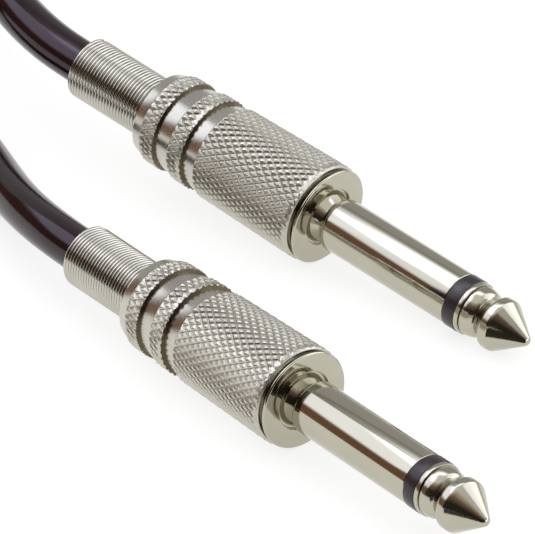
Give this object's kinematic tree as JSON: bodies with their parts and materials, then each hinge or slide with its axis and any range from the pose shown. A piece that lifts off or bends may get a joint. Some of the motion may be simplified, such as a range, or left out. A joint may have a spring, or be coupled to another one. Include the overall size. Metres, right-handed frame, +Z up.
{
  "type": "instrument cable",
  "caption": "Instrument cable: black round jacket between straight quarter-inch jack plugs with knurled screw-on barrels and spring strain reliefs, spare cable in a hank.",
  "frame": {"origin": "on plug B's axis, where its sleeve shaft leaves the shoulder", "axes": "+X out along plug B towards its tip, +Z up from the table it lies on"},
  "size_m": [0.2602, 0.0488, 0.0216],
  "materials": {
    "knurled_nickel": "nickel plate on a knurled barrel, satin",
    "spring_nickel": "nickel-plated spring wire",
    "polished_nickel": "polished nickel plate",
    "ring_plastic": "dark satin plastic",
    "cream_plastic": "pale insulating plastic",
    "lug_brass": "tinned brass strip",
    "copper": "bare copper with solder",
    "cable_jacket": "glossy black soft PVC",
    "strap": "black hook-and-loop strap"
  },
  "bodies": {
    "root": {"sleeve_a": "polished_nickel", "insulator_tube_a": "ring_plastic", "ring_a": "ring_plastic", "tip_a": "polished_nickel", "washer_a": "cream_plastic", "tip_lug_a": "lug_brass", "sleeve_lug_a": "lug_brass", "jacket_end_a": "cable_jacket", "shield_a": "copper", "core_a": "cream_plastic", "conductor_a": "copper", "sleeve_b": "polished_nickel", "insulator_tube_b": "ring_plastic", "ring_b": "ring_plastic", "tip_b": "polished_nickel", "washer_b": "cream_plastic", "tip_lug_b": "lug_brass", "sleeve_lug_b": "lug_brass", "jacket_end_b": "cable_jacket", "shield_b": "copper", "core_b": "cream_plastic", "conductor_b": "copper", "lead_a": "cable_jacket", "lead_b": "cable_jacket", "hank": "cable_jacket", "tie": "strap"},
    "strain_relief_a": {"spring_a": "spring_nickel", "liner_a": "cream_plastic"},
    "shell_a": {"barrel_a": "knurled_nickel"},
    "strain_relief_b": {"spring_b": "spring_nickel", "liner_b": "cream_plastic"},
    "shell_b": {"barrel_b": "knurled_nickel"}
  },
  "joints": [
    {"name": "travel_a", "type": "slide", "parent": "root", "child": "strain_relief_a", "axis": [-0.9873, -0.1212, 0.1031], "range_m": [0, 0.00563]},
    {"name": "unscrew_a", "type": "hinge", "parent": "strain_relief_a", "child": "shell_a", "pos_m": [-0.0287, 0.0259, -0.00013], "axis": [-0.9873, -0.1212, 0.1031], "range_deg": [0, 2700]},
    {"name": "travel_b", "type": "slide", "parent": "root", "child": "strain_relief_b", "axis": [-1, 0, 0], "range_m": [0, 0.00563]},
    {"name": "unscrew_b", "type": "hinge", "parent": "strain_relief_b", "child": "shell_b", "pos_m": [-0.0019, 0, 0], "axis": [-1, 0, 0], "range_deg": [0, 2700]}
  ],
  "couplings": [
    {"joint": "travel_a", "follows": "unscrew_a", "m_per_rad": 0.00011937},
    {"joint": "travel_b", "follows": "unscrew_b", "m_per_rad": 0.00011937}
  ]
}
